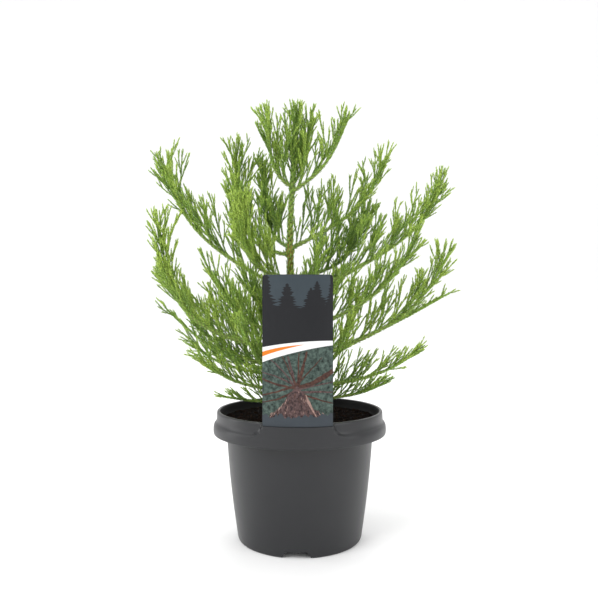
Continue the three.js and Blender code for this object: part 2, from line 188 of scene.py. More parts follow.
def makeGrainGroup():
    # fine moulded or fibrous grain: a height for a bump and an uneven roughness
    group, given, result = newGroup("SurfaceGrain", [
        ("Scale", "NodeSocketFloat", 900.0),
        ("Stretch", "NodeSocketVector", (1, 1, 1)),
        ("Roughness", "NodeSocketFloat", 0.5),
        ("Variation", "NodeSocketFloat", 0.1),
    ], [("Height", "NodeSocketFloat"), ("Roughness", "NodeSocketFloat")])
    place = addNode(group, "ShaderNodeTexCoord")
    turn = addNode(group, "ShaderNodeVectorMath", operation="MULTIPLY")
    fine = addNode(group, "ShaderNodeTexNoise", {"Detail": 4.0, "Roughness": 0.65})
    broad = addNode(group, "ShaderNodeTexNoise", {"Scale": 22.0, "Detail": 3.0})
    centre = addNode(group, "ShaderNodeMath", {1: 0.5}, operation="SUBTRACT")
    vary = addNode(group, "ShaderNodeMath", operation="MULTIPLY_ADD")
    link = group.links.new
    link(place.outputs["Object"], turn.inputs[0])
    link(given.outputs["Stretch"], turn.inputs[1])
    link(turn.outputs["Vector"], fine.inputs["Vector"])
    link(given.outputs["Scale"], fine.inputs["Scale"])
    link(place.outputs["Object"], broad.inputs["Vector"])
    link(broad.outputs["Fac"], centre.inputs[0])
    link(centre.outputs["Value"], vary.inputs[0])
    link(given.outputs["Variation"], vary.inputs[1])
    link(given.outputs["Roughness"], vary.inputs[2])
    link(fine.outputs["Fac"], result.inputs["Height"])
    link(vary.outputs["Value"], result.inputs["Roughness"])
    return group


mottleGroup = makeMottleGroup()
grainGroup = makeGrainGroup()


def surface(name, colour, other, **look):
    # a Principled material: mottled colour, grain in the bump and in the roughness
    material = bpy.data.materials.new(name)
    material.use_nodes = True
    tree = material.node_tree
    shader = tree.nodes["Principled BSDF"]
    mottle = addNode(tree, "ShaderNodeGroup", node_tree=mottleGroup)
    mottle.inputs["Colour"].default_value = colour
    mottle.inputs["Other"].default_value = other
    mottle.inputs["Scale"].default_value = look.get("patch", 200.0)
    mottle.inputs["Spread"].default_value = look.get("spread", 0.5)
    grain = addNode(tree, "ShaderNodeGroup", node_tree=grainGroup)
    grain.inputs["Scale"].default_value = look.get("grain", 900.0)
    grain.inputs["Stretch"].default_value = look.get("stretch", (1, 1, 1))
    grain.inputs["Roughness"].default_value = look.get("rough", 0.5)
    grain.inputs["Variation"].default_value = look.get("uneven", 0.1)
    bump = addNode(tree, "ShaderNodeBump", {"Strength": look.get("relief", 0.3), "Distance": 0.001})
    link = tree.links.new
    link(mottle.outputs["Colour"], shader.inputs["Base Color"])
    link(grain.outputs["Roughness"], shader.inputs["Roughness"])
    link(grain.outputs["Height"], bump.inputs["Height"])
    link(bump.outputs["Normal"], shader.inputs["Normal"])
    shader.inputs["Specular IOR Level"].default_value = look.get("gloss", 0.5)
    return material


# Sizes of the bent card, whose turn the pot's pocket follows

label = {"turn": math.radians(-91.4), "radius": 93.15, "thickness": 0.7, "half": 35.3, "foot": 123.8,
         "top": 285.5, "corner": 3.0, "strip": 3.6}

# Nursery pot

pot = {
    "sides": 240,
    "profile": [  # outside, over the collar and down the inside: radius and height in mm
        (65.6, 0), (66.8, 0.25), (67.5, 0.8), (67.9, 1.6), (68.3, 2.9), (70.4, 17), (72.5, 32),
        (74.8, 50), (77.0, 70), (78.9, 92), (80.5, 113), (80.9, 117), (82.2, 120.4), (84.8, 124.6),
        (86.7, 127.2), (88.6, 128.2), (90.0, 127.7), (90.8, 125.6), (91.6, 122), (92.6, 117.2),
        (93.1, 115.8), (93.8, 115.2), (94.5, 115.5), (94.9, 116.5), (95.1, 118.5), (95.1, 121),
        (94.95, 123), (94.6, 124.7), (94.0, 126.1), (93.2, 127.2), (92.4, 128.0), (91.9, 128.9),
        (91.6, 130.2), (91.45, 131.7), (91.4, 133.2), (91.35, 134.7), (91.3, 136.2), (91.25, 137.5),
        (91.1, 138.6), (90.75, 139.4), (90.2, 139.85), (89.5, 140), (88.6, 139.95), (87.95, 139.6),
        (87.5, 138.8), (87.3, 137.6), (87.05, 134), (86.8, 130.4), (85.6, 128.4), (83.0, 125.8),
        (80.2, 121), (78.8, 116), (77.0, 92), (75.0, 70), (72.8, 50), (70.5, 32), (66.4, 3.6),
        (64.8, 2.2), (63.0, 2.0),
    ],
    # the swelling that holds the label: its face, half breadth, the flare at its foot, the crease at
    # its edge, the radius its breadth is measured at, and where the collar's skin starts and ends
    "pocketTurn": label["turn"], "pocketFace": 95.1, "pocketHalf": 35.4, "pocketTop": 138.0,
    "pocketFlare": 12.0, "pocketCrease": 2.4, "pocketArc": 93, "pocketSkin": 90.4, "lip": 139.2,
    "slotInner": 92.35, "slotOuter": 93.95, "slotFoot": 123.5, "slotTurn": 23.0, "slotHeight": 26,
    # drain notches: channels with walls of their own, kept inside the cone of the pot's foot
    "notches": 3, "notchTurn": -92.7, "notchTop": 22, "notchBottom": 30, "notchHeight": 6.9,
    "notchDepth": 14, "notchBelow": 4, "notchEdge": 0.8, "foot": 65.6, "coreFoot": 66.2,
    "coreHead": 68.6, "coreHeight": 16, "coreLift": 0.9, "wall": 2.0,
}


def selectVerts(obj, test):
    # selects by place, in edit mode
    editing = bmesh.from_edit_mesh(obj.data)
    for v in editing.verts:
        v.select = test(v.co)
    editing.select_flush_mode()
    bmesh.update_edit_mesh(obj.data)


def spinProfile(name, profile, sides):
    # a circle extruded and resized from level to level, closed at both ends
    deselect()
    radius, height = profile[0]
    bpy.ops.mesh.primitive_circle_add(vertices=sides, radius=radius * mm, location=(0, 0, height * mm))
    obj = bpy.context.object
    obj.name = obj.data.name = name
    applyPlace(obj)
    bpy.ops.object.mode_set(mode="EDIT")
    bpy.ops.mesh.select_all(action="SELECT")
    for nextRadius, nextHeight in profile[1:]:
        step = (0, 0, (nextHeight - height) * mm)
        bpy.ops.mesh.extrude_region_move(TRANSFORM_OT_translate={"value": step})
        ratio = nextRadius / radius
        bpy.ops.transform.resize(value=(ratio, ratio, 1), center_override=(0, 0, nextHeight * mm))
        radius, height = nextRadius, nextHeight
    bpy.ops.mesh.edge_face_add()
    first = profile[0]
    selectVerts(obj, lambda co: abs(co.z - first[1] * mm) < 1e-6
                and abs(math.hypot(co.x, co.y) - first[0] * mm) < 1e-6)
    bpy.ops.mesh.edge_face_add()
    faceOut(obj)
    return obj


def smoothStep(low, high, value):
    t = min(max((value - low) / (high - low), 0), 1)
    return t * t * (3 - 2 * t)


def raisePocket(obj):
    # the upper band swells out to the lower one round the label, over a rounded crease
    p = pot
    for v in obj.data.vertices:
        radius, z = math.hypot(v.co.x, v.co.y) / mm, v.co.z / mm
        if radius < p["pocketSkin"] or z < p["slotFoot"] or z > p["lip"]:
            continue
        turn = math.atan2(v.co.y, v.co.x) - p["pocketTurn"]
        turn = (turn + math.pi) % (2 * math.pi) - math.pi
        across = abs(turn) * p["pocketArc"]
        drop = max(p["pocketTop"] - z, 0)
        # the swelling's edge runs straight down beside the card, then sweeps outwards
        edge = p["pocketHalf"] + p["pocketFlare"] * max(drop / 10.5 - 0.12, 0) ** 2.2
        inside = 1 - smoothStep(edge, edge + p["pocketCrease"], across)
        high = 1 - smoothStep(p["pocketTop"] - 0.2, p["pocketTop"] + 0.9, z)
        target = radius + (p["pocketFace"] - radius) * inside * high
        v.co.x *= target / radius
        v.co.y *= target / radius


def wedge(name, turn, grow, start, length):
    # a drain notch's outline, wider at the ground, laid along one radius
    p = pot
    deselect()
    bpy.ops.mesh.primitive_cube_add(size=1, location=(0, 0, 0))
    obj = bpy.context.object
    obj.name = obj.data.name = name
    top, foot = p["notchTop"] / 2 + grow, p["notchBottom"] / 2 + grow
    slope = (foot - top) / p["notchHeight"]
    high = p["notchHeight"] + grow
    for v in obj.data.vertices:
        z = high if v.co.z > 0 else -p["notchBelow"]
        half = top + slope * (high - z)
        v.co = ((start + (length if v.co.x > 0 else 0)) * mm, math.copysign(half, v.co.y) * mm, z * mm)
    obj.rotation_euler.z = math.radians(turn)
    applyPlace(obj)
    applyModifier(obj, "BEVEL", width=p["notchEdge"] * mm, segments=2, limit_method="ANGLE")
    return obj


def cutBy(obj, cutter, operation):
    applyModifier(obj, "BOOLEAN", object=cutter, operation=operation, solver="EXACT")
    bpy.data.objects.remove(cutter, do_unlink=True)


def makeSlot():
    # the slot that the card stands in: a slice spun round the pot's axis
    p = pot
    deselect()
    bpy.ops.mesh.primitive_plane_add(size=1, location=(0, 0, 0))
    slot = bpy.context.object
    slot.name = "slot"
    for v in slot.data.vertices:
        v.co = (p["slotOuter" if v.co.x > 0 else "slotInner"] * mm, 0,
                (p["slotFoot"] + (p["slotHeight"] if v.co.y > 0 else 0)) * mm)
    turn = p["pocketTurn"] + math.radians(p["slotTurn"])
    slot.data.transform(Matrix.Rotation(turn, 4, "Z"))
    activate(slot)
    bpy.ops.object.mode_set(mode="EDIT")
    bpy.ops.mesh.select_all(action="SELECT")
    bpy.ops.mesh.spin(steps=24, angle=math.radians(2 * p["slotTurn"]), center=(0, 0, 0), axis=(0, 0, 1))
    faceOut(slot)
    editing = bmesh.new()
    editing.from_mesh(slot.data)
    if editing.calc_volume(signed=True) < 0:
        bmesh.ops.reverse_faces(editing, faces=editing.faces)
    holes = [e for e in editing.edges if e.is_boundary]
    if holes:
        bmesh.ops.holes_fill(editing, edges=holes)
        bmesh.ops.recalc_face_normals(editing, faces=editing.faces)
    editing.to_mesh(slot.data)
    editing.free()
    return slot


def makePot():
    p = pot
    obj = spinProfile("nurseryPot", p["profile"], p["sides"])
    raisePocket(obj)
    for i in range(p["notches"]):
        turn = p["notchTurn"] + 360 / p["notches"] * i
        start = p["foot"] - p["notchDepth"]
        housing = wedge("housing", turn, p["wall"], start - p["wall"], 20)
        deselect()
        bpy.ops.mesh.primitive_cone_add(
            vertices=p["sides"], radius1=p["coreFoot"] * mm, radius2=p["coreHead"] * mm,
            depth=p["coreHeight"] * mm, location=(0, 0, (p["coreHeight"] / 2 + p["coreLift"]) * mm))
        core = bpy.context.object
        applyPlace(core)
        cutBy(housing, core, "INTERSECT")
        cutBy(obj, housing, "UNION")
        cutBy(obj, wedge("notch", turn, 0, start, 26), "DIFFERENCE")
    cutBy(obj, makeSlot(), "DIFFERENCE")
    smooth(obj, 32)
    return obj


report("pot")
potPlastic = surface("potPlastic", srgb(26, 27, 30), srgb(21, 22, 25), patch=35.0, spread=0.6, grain=1400.0,
                     rough=0.38, uneven=0.16, relief=0.10, gloss=0.5)
# a darker, duller copy of the pot plastic: painted shade for the inner wall above the soil
potPaintedShade = surface("potPaintedShade", srgb(13, 13, 14), srgb(10, 10, 11), patch=35.0, spread=0.6, grain=1400.0,
                    rough=0.6, uneven=0.1, relief=0.10, gloss=0.2)
nurseryPot = makePot()
finishPiece(nurseryPot, [potPlastic, potPaintedShade], "pot_plastic", "pot")
for polygon in nurseryPot.data.polygons:
    # the wall above the soil, where it looks in at the stem, gets the darker, duller copy of the plastic:
    # painted shade inside the pot's mouth
    at = polygon.center / mm
    shadedMouth = at.z > 120 and math.hypot(at.x, at.y) < 88
    polygon.material_index = 1 if shadedMouth and looksInward(polygon) else 0

# Potting soil: a lumpy plug under loose crumbs, chips and fibres

soil = {
    "edge": 86.0, "edgeHeight": 130.0, "centre": 132.4, "lump": 1.3, "foot": (-3.0, 0.0), "footClear": 10,
    "crumbs": 2600, "fibres": 380, "crumbEdge": 86.2,
    "profile": [(60, 112), (77.5, 113), (80.5, 120.5), (83.6, 126.0), (85.5, 128.2), (86.3, 129.4)],
}


def soilHeight(x, y):
    # in mm
    r = math.hypot(x, y)
    base = soil["centre"] + (soil["edgeHeight"] - soil["centre"]) * min(r / soil["edge"], 1) ** 1.6
    place = Vector((x * 0.06, y * 0.06, 3.1))
    lumps = noise.fractal(place * 3.2, 0.9, 2.1, 4) * soil["lump"]
    return base + lumps * 0.9 - 0.6


def makeSoil():
    profile = soil["profile"] + [(r, soil["edgeHeight"]) for r in np.linspace(85.0, 1.2, 62)]
    obj = spinProfile("pottingSoil", profile, 160)
    for v in obj.data.vertices:
        x, y, z = v.co.x / mm, v.co.y / mm, v.co.z / mm
        if z > soil["edgeHeight"] - 0.1:
            v.co.z = soilHeight(x, y) * mm
    smooth(obj, 60)
    return obj


def makeCrumbs():
    # uneven eight-sided chips, and the same shape drawn out for fibres
    draw = random.Random(11)
    verts, tris = [], []
    ring = [(1, 0, 0), (0, 1, 0), (-1, 0, 0), (0, -1, 0), (0, 0, 1), (0, 0, -1)]
    for i in range(soil["crumbs"] + soil["fibres"]):
        fibre = i >= soil["crumbs"]
        r = soil["edge"] * math.sqrt(draw.random()) * 0.985
        a = draw.uniform(0, 2 * math.pi)
        x, y = r * math.cos(a), r * math.sin(a)
        if math.hypot(x - soil["foot"][0], y - soil["foot"][1]) < soil["footClear"]:
            continue
        size = draw.uniform(0.35, 1.15) if draw.random() < 0.8 else draw.uniform(1.0, 2.1)
        turn, tip = draw.uniform(0, 6.28), draw.uniform(-0.5, 0.5)
        spin = Matrix.Rotation(turn, 3, "Z") @ Matrix.Rotation(tip, 3, "X")
        stretch = (draw.uniform(3.0, 7.0), 0.28, 0.22) if fibre else (
            size * draw.uniform(0.8, 1.9), size, size * draw.uniform(0.45, 0.9))
        base = Vector((x, y, soilHeight(x, y) + stretch[2] * 0.45 + (0.35 if fibre else 0)))
        first = len(verts)
        for corner in ring:
            jitter = 1 + draw.uniform(-0.3, 0.3)
            at = base + spin @ Vector([c * s for c, s in zip(corner, stretch)]) * jitter
            outward = math.hypot(at.x, at.y)
            if outward > soil["crumbEdge"]:
                at.x *= soil["crumbEdge"] / outward
                at.y *= soil["crumbEdge"] / outward
            verts.append(at * mm)
        for j in range(4):
            k = (j + 1) % 4
            tris += [(first + j, first + k, first + 4), (first + k, first + j, first + 5)]
    return arrayObject("soilCrumbs", np.array(verts), np.array(tris))


report("soil")
soilDark = surface("soilDark", srgb(5, 4, 4), srgb(15, 11, 9), patch=520.0, spread=0.8, grain=700.0,
                   rough=0.92, uneven=0.1, relief=0.9, gloss=0.03)
crumbBrown = surface("crumbBrown", srgb(6, 5, 4), srgb(48, 34, 26), patch=160.0, spread=0.8, grain=900.0,
                     rough=0.9, uneven=0.1, relief=0.5, gloss=0.04)
pottingSoil = makeSoil()
finishPiece(pottingSoil, soilDark, "compost", "soil")
soilCrumbs = makeCrumbs()
finishPiece(soilCrumbs, crumbBrown, "compost")

# Plant label: a bent card with a printed forest picture, and no lettering

def bendToLabel(obj, lift):
    # flat x is the run across the card and flat y its height, both in mm
    for v in obj.data.vertices:
        r = label["radius"] + lift + v.co.z
        a = label["turn"] + v.co.x / label["radius"]
        v.co = Vector((r * math.cos(a), r * math.sin(a), v.co.y)) * mm


def cutStrips(obj):
    # cuts flat shapes into strips, so that they can bend
    activate(obj)
    bpy.ops.object.mode_set(mode="EDIT")
    x = -label["half"] + label["strip"]
    while x < label["half"]:
        bpy.ops.mesh.select_all(action="SELECT")
        bpy.ops.mesh.bisect(plane_co=(x, 0, 0), plane_no=(1, 0, 0))
        x += label["strip"]
    bpy.ops.mesh.select_all(action="SELECT")
    bpy.ops.mesh.quads_convert_to_tris(quad_method="BEAUTY", ngon_method="BEAUTY")
    bpy.ops.object.mode_set(mode="OBJECT")


def cardOutline(inset=0.0):
    half, top, corner = label["half"] - inset, label["top"] - inset, label["corner"]
    points = [(-half, label["foot"] + inset), (half, label["foot"] + inset)]
    for centre, start in ((half - corner, 0), (corner - half, 90)):
        for i in range(7):
            a = math.radians(start + 15 * i)
            points.append((centre + corner * math.cos(a), top - corner + corner * math.sin(a)))
    return points


def flatShapes(name, shapes):
    # closed outlines, each one face, with a material slot and a layer height in mm
    verts, faces, slots = [], [], []
    for outline, slot, lift in shapes:
        first = len(verts)
        verts += [(x, y, lift) for x, y in outline]
        faces.append(list(range(first, first + len(outline))))
        slots.append(slot)
    obj = meshObject(name, verts, faces)
    for polygon, slot in zip(obj.data.polygons, slots):
        polygon.material_index = slot
    return obj


def ribbon(line, widths):
    # the outline of a stroke that changes width along its line
    left, right = [], []
    for i, (x, y) in enumerate(line):
        a = line[max(i - 1, 0)]
        b = line[min(i + 1, len(line) - 1)]
        dx, dy = b[0] - a[0], b[1] - a[1]
        size = math.hypot(dx, dy) or 1
        half = widths[i] / 2
        left.append((x - dy / size * half, y + dx / size * half))
        right.append((x + dy / size * half, y - dx / size * half))
    return left + right[::-1]


def firOutline(x, apex, foot, spread, draw):
    # a fir in silhouette: tiers of ragged boughs under a thin tip
    tiers = 14
    tier = (apex - foot) / tiers
    half = []
    for i in range(1, tiers + 1):
        part = i / tiers
        y = apex - (apex - foot) * part
        reach = spread * (part ** 0.95 + 0.03) * draw.uniform(0.7, 1.3) + 0.3
        half.append((reach, y + tier * draw.uniform(-0.1, 0.35)))
        half.append((reach * draw.uniform(0.5, 0.72), y - tier * 0.35))
    right = [(x + reach, y) for reach, y in half]
    left = [(x - reach * draw.uniform(0.85, 1.1), y) for reach, y in half]
    return [(x, apex)] + right + left[::-1]


def curveBetween(start, middle, end, count=13):
    points = []
    for i in range(count):
        t = i / (count - 1)
        points.append(tuple((1 - t) ** 2 * s + 2 * t * (1 - t) * m + t * t * e
                            for s, m, e in zip(start, middle, end)))
    return points


def makeCard():
    obj = meshObject("plantLabel", [(x, y, 0) for x, y in cardOutline()], [list(range(16))])
    cutStrips(obj)
    bendToLabel(obj, -label["thickness"] / 2)
    applyModifier(obj, "SOLIDIFY", thickness=label["thickness"] * mm, offset=1, use_even_offset=True)
    faceOut(obj)
    # solidify may grow either way: keep the card on its own radius
    radii = [math.hypot(v.co.x, v.co.y) for v in obj.data.vertices]
    off = label["radius"] * mm - (min(radii) + max(radii)) / 2
    for v in obj.data.vertices:
        r = math.hypot(v.co.x, v.co.y)
        v.co.x *= (r + off) / r
        v.co.y *= (r + off) / r
    applyModifier(obj, "BEVEL", width=0.12 * mm, segments=2, limit_method="ANGLE", angle_limit=1.0)
    smooth(obj, 40)
    return obj


picture = {  # widths and heights on the flat card, in mm; each layer lies a little above the one before
    "inset": 0.25, "foot": 138, "crown": (-1.0, 178.0), "strokes": 110, "ragged": 40,
    "sky": [(-23, 255), (-6, 252.5), (4, 251), (16, 252.5), (26, 255)],
    "firs": [  # place, apex, foot, spread
        (-32, 296, 247, 12), (-10, 277, 245, 17), (13, 273, 245, 12), (19, 279.5, 245, 16),
        (35, 285, 247, 10),
    ],
    "boughs": [  # end, bend, width at the end, width at the mound; None is the card's left or right edge
        ((-9.5, 206), (-5, 192), 1.6, 3.2), ((9, 211), (6, 196), 1.9, 3.6),
        ((1.5, 210), (0.5, 195), 1.0, 2.2), ((-27, 203), (-12, 193), 0.8, 2.0),
        ((None, 192), (17, 179), 5.2, 4.0),
        ((None, 184), (-18, 177), 1.6, 2.6), ((None, 190), (-15, 187), 0.9, 1.8),
        ((None, 168), (-17, 172), 1.4, 2.2), ((None, 161), (-18, 163), 1.0, 2.4),
        ((None, 171), (20, 172), 1.3, 2.4), ((None, 160), (20, 164), 1.0, 2.2),
        ((24, 205), (12, 192), 0.8, 1.8), ((None, 181), (16, 178), 1.0, 1.8),
        ((-17, 209), (-7, 193), 0.7, 1.6),
    ],
}
slate, sky, white, orange, woods, wood, barkInk, pale, fade = range(9)   # places in printInks


def printUpper(draw, edge, top):
    # the card's slate ground, a dusk sky, and firs before it
    outline = [(-edge + 3, top), (-edge + 1.6, 262), *picture["sky"], (edge - 1.2, 262), (edge - 3, top)]
    shapes = [(cardOutline(picture["inset"]), slate, 0.00), (outline, sky, 0.02)]
    for i, fir in enumerate(picture["firs"]):
        outline = [(min(max(x, -edge), edge), min(y, top - 0.2)) for x, y in firOutline(*fir, draw)]
        shapes.append((outline, slate, 0.04 + 0.004 * i))
    return shapes


def printBoughs(draw, edge):
    # bare boughs that meet at the mound's crown
    shapes = []
    crown = picture["crown"]
    for i, ((x, y), bend, thin, thick) in enumerate(picture["boughs"]):
        end = (math.copysign(edge, bend[0]) if x is None else x, y)
        line = curveBetween(end, bend, (crown[0] + draw.uniform(-3, 3), crown[1] - draw.uniform(0, 8)), 11)
        wobble = [(x + draw.uniform(-0.3, 0.3), y + draw.uniform(-0.3, 0.3)) for x, y in line[1:]]
        widths = np.linspace(thin, thick, 11) * np.array([draw.uniform(0.85, 1.15) for _ in range(11)])
        shapes.append((ribbon([line[0]] + wobble, widths), wood if i % 3 else barkInk, 0.06 + 0.004 * i))
    return shapes


def printMound(draw):
    # a mound of bark, with strokes down its sides and one pale split
    foot = picture["foot"] + 2
    mound = [(-29, 145)]
    for i in range(27):
        x = -26 + 55 * (i / 26)
        mound.append((x, 146 + 31 * math.exp(-(abs(x + 0.5) / 15.5) ** 1.7) + draw.uniform(-1.8, 1.8)))
    shapes = [(mound + [(31, 144), (28, foot), (-26, foot)], barkInk, 0.13)]
    for i in range(picture["strokes"]):
        x = draw.uniform(-25, 28)
        y = draw.uniform(147, 149 + 28 * math.exp(-(abs(x + 0.5) / 15) ** 1.7))
        run = draw.uniform(2.0, 5.5)
        lean = (x + 0.5) * 0.03
        line = [(x, y), (x + lean * run * 0.5, y - run * 0.5), (x + lean * run, y - run)]
        stroke = ribbon(line, [0.2, draw.uniform(0.4, 1.0), 0.2])
        shapes.append((stroke, (wood, pale, slate)[i % 3], 0.15 + 0.0003 * i))
    split = curveBetween((8, 169), (12, 158), (18, 148), 9)
    shapes.append((ribbon(split, [0.6, 1.4, 2.0, 2.6, 2.2, 1.7, 1.6, 1.0, 0.4]), pale, 0.19))
    return shapes


def makePrint():
    draw = random.Random(5)
    edge, top = label["half"] - picture["inset"], label["top"] - picture["inset"]
    foot, steps = picture["foot"], picture["ragged"]
    bandTop = curveBetween((-edge, 214.6), (0, 221.8), (edge, 221.0))
    bandFoot = curveBetween((-edge, 200.0), (2, 213.4), (edge, 216.6))
    shapes = printUpper(draw, edge, top)
    shapes.append((bandFoot + [(edge, foot), (-edge, foot)], woods, 0.03))
    shapes += printBoughs(draw, edge)
    shapes += printMound(draw)
    # the lower picture ends in a ragged edge, and the white band sweeps over its top
    ragged = [(edge, foot - 13), (edge, 150)]
    ragged += [(edge - 2 * edge * i / steps, 148.6 + draw.uniform(-2.6, 2.6)) for i in range(1, steps)]
    ragged += [(-edge, 149), (-edge, foot - 13)]
    stroke = curveBetween((-edge, 210.2), (-18, 215.8), (6, 217.6))
    strokeFoot = curveBetween((-edge, 205.6), (-18, 212.4), (6, 217.4))
    shapes += [(ragged, fade, 0.21), (bandTop + bandFoot[::-1], white, 0.22),
               (stroke + strokeFoot[::-1], orange, 0.24)]
    obj = flatShapes("labelPrint", shapes)
    cutStrips(obj)
    bendToLabel(obj, label["thickness"] / 2 + 0.02)
    activate(obj)
    bpy.ops.object.mode_set(mode="EDIT")
    bpy.ops.mesh.select_all(action="SELECT")
    bpy.ops.mesh.delete_loose()
    bpy.ops.object.mode_set(mode="OBJECT")
    return obj


def faceOutwards(obj):
    # every printed face looks away from the pot's axis
    editing = bmesh.new()
    editing.from_mesh(obj.data)
    wrong = [f for f in editing.faces if f.normal.dot(f.calc_center_median() * Vector((1, 1, 0))) < 0]
    bmesh.ops.reverse_faces(editing, faces=wrong)
    editing.to_mesh(obj.data)
    editing.free()


report("label")
cardLook = {"grain": 500.0, "rough": 0.42, "uneven": 0.06, "relief": 0.03, "gloss": 0.22}
cardBack = surface("cardBack", srgb(206, 206, 200), srgb(196, 196, 190), patch=60.0, spread=0.5, **cardLook)
inkSlate = surface("inkSlate", srgb(28, 29, 32), srgb(25, 26, 29), patch=60.0, **cardLook)
plantLabel = makeCard()
finishPiece(plantLabel, [cardBack, inkSlate], "label_card", "plant_label")
for polygon in plantLabel.data.polygons:
    # only the back is left pale
    polygon.material_index = 0 if looksInward(polygon) else 1
printInks = [
    inkSlate,
    surface("inkSky", srgb(56, 65, 71), srgb(46, 54, 59), patch=30.0, **cardLook),
    surface("inkWhite", srgb(226, 226, 226), srgb(218, 218, 218), patch=60.0, **cardLook),
    surface("inkOrange", srgb(212, 120, 34), srgb(202, 110, 30), patch=90.0, **cardLook),
    surface("inkWoods", srgb(18, 28, 25), srgb(88, 106, 98), patch=300.0, spread=0.9, **cardLook),
    surface("inkWood", srgb(40, 25, 22), srgb(92, 62, 52), patch=340.0, spread=0.9, **cardLook),
    surface("inkBark", srgb(30, 21, 22), srgb(100, 78, 76), patch=420.0, spread=1.0, **cardLook),
    surface("inkPale", srgb(168, 140, 130), srgb(104, 80, 72), patch=500.0, spread=0.8, **cardLook),
    surface("inkFade", srgb(58, 64, 70), srgb(52, 58, 63), patch=90.0, spread=0.6, **cardLook),
]
labelPrint = makePrint()
faceOutwards(labelPrint)
finishPiece(labelPrint, printInks, "label_card")

# Trunk and limbs. Lengths in mm, angles in degrees. A limb leaves the trunk at its height, heads off
# at its azimuth (0 right, 90 away from the label) and climbs from its start slope to its end slope
# over its reach and rise. Shoot is the usual length of its shoots. The brightness makes them fresher
# or duller green, and is also painted light and shade: high for the lit plumes at the front left, low
# for the shaded ones at the back and low down. Some limbs also say how far the last shoots pass the
# tip (room), how close shoots stand (dense), where along the limb they begin (leafy), how long side
# twigs get (twig), and whether they grow free of the masses.

trunk = {
    "line": [(-3.0, 132.8), (-8.0, 225.0), (-10.8, 315.0), (-8.4, 386.0), (-3.2, 474.0)],
    "footRadius": 5.2, "tipRadius": 0.7, "flare": 4.2, "flareHeight": 7.0,
    "whorls": [(315.0, 1.3), (386.0, 0.8)], "bend": 0.85,
}
limbFields = ("height", "azimuth", "reach", "rise", "start", "end", "radius", "shoot", "freshAndPaintedLight")
limbRows = {
    "top_right": (381, -22, 65, 74, 28, 66, 1.5, 34, 0.35, dict(room=10)),
    "upper_right": (317.5, 22, 117, 106.5, 26, 72, 1.7, 40, 0.35, dict(room=22)),
    "upper_left": (311, 160, 66, 118, 8, 88, 1.6, 48, 0.2, dict(room=15, dense=1.4)),
    "front_upper_left": (284, 230, 80, 70, 6, 84, 1.7, 42, 0.9, dict(dense=1.8, room=18)),
    "mid_right": (258, 14, 180, 142, 26, 76, 2.1, 50, 0.25, dict(room=28)),
    "mid_left": (268, 174, 143, 140, 28, 72, 2.0, 60, 0.15, dict(room=30)),
    "left": (203, 202, 148, 136, 10, 84, 2.2, 42, 0.7, dict(room=18)),
    "right": (222, -24, 140, 101, 20, 60, 2.0, 38, 0.5, dict(room=20)),
    "low_left": (182, 170, 154, 105, 10, 58, 2.2, 44, 0.2, dict(room=22)),
    "low_right": (188, -8, 170, 128, 20, 66, 2.2, 40, 0.5, dict(room=6)),
    "inner_left": (225, 212, 97, 64, 4, 62, 1.7, 30, 0.3, dict()),
    "back_upper_left": (320, 124, 58, 98, 14, 84, 1.5, 38, -0.2, dict(dense=1.7, room=12)),
    "back_right": (284, 40, 120, 80, 10, 66, 1.8, 54, -0.5, dict(dense=1.6)),
    "lower_left": (174, 156, 134, 37, 4, 42, 1.8, 30, -0.1, dict(dense=1.3)),
    "base_left": (160, 199, 108, 39, 6, 40, 1.7, 22, 0.1, dict(dense=1.5)),
    "base_right": (162, -14, 134, 44, 8, 36, 1.8, 26, 0.2, dict(dense=1.2)),
    "rim_right": (149, 10, 104, 18, 2, 26, 1.4, 21, -0.1, dict(dense=1.7)),
    "back_low": (168, 76, 124, 58, 8, 56, 1.9, 28, 0.0, dict()),
    "back_mid": (214, 100, 112, 52, 6, 58, 1.9, 26, 0.0, dict()),
    "back_left": (190, 130, 124, 84, 12, 64, 1.9, 32, 0.0, dict()),
    "back_low_right": (184, 50, 126, 80, 12, 62, 1.9, 32, 0.0, dict()),
    "front": (208, -84, 62, 50, 6, 66, 1.3, 20, 0.3, dict()),
    "leader_left": (386, 205, 31, 79, 26, 86, 1.3, 34, 0.3, dict(room=7, dense=1.3)),
    "leader_right": (389, 30, 25, 86, 50, 82, 1.3, 32, 0.1, dict(room=7)),
    "far_right": (190, -3, 170, 78, 20, 30, 1.6, 14, 0.3, dict(leafy=0.62)),
    "stem_right": (262, -40, 40, 58, 24, 84, 1.0, 20, 0.2, dict(dense=1.5)),
    "near_left": (238, 214, 58, 46, 10, 70, 1.2, 32, 0.0, dict(dense=1.5)),
    "far_inner_right": (238, 30, 71, 60, 16, 66, 1.2, 32, -0.3, dict(dense=1.5)),
    "front_left": (178, -126, 88, 52, 8, 56, 1.4, 24, 0.1, dict(dense=1.3)),
    "front_right": (176, -52, 86, 52, 8, 56, 1.4, 24, 0.1, dict(dense=1.3)),
    "far_left": (178, 178, 145, 74, 8, 44, 1.5, 18, 0.1, dict(leafy=0.4, twig=10, free=True)),
    "rim_left": (149, 176, 83, 4, -3, 10, 1.2, 17, -0.2, dict(dense=1.5)),
}
limbs = {name: dict(zip(limbFields, row), **row[-1]) for name, row in limbRows.items()}


def hermite(points, t):
    # a smooth curve through points, as a Catmull-Rom spline
    spans = len(points) - 1
    i = min(int(t * spans), spans - 1)
    u = t * spans - i
    a = np.array(points[max(i - 1, 0)], float)
    b = np.array(points[i], float)
    c = np.array(points[i + 1], float)
    d = np.array(points[min(i + 2, spans)], float)
    bend, twist = 2 * a - 5 * b + 4 * c - d, 3 * b - a - 3 * c + d
    return 0.5 * ((2 * b) + (c - a) * u + bend * u * u + twist * u ** 3)


trunkTable = np.array([hermite(trunk["line"], t) for t in np.linspace(0, 1, 240)])


def trunkPoint(z):
    x = np.interp(z, trunkTable[:, 1], trunkTable[:, 0])
    return np.array((x, 0.0, z))


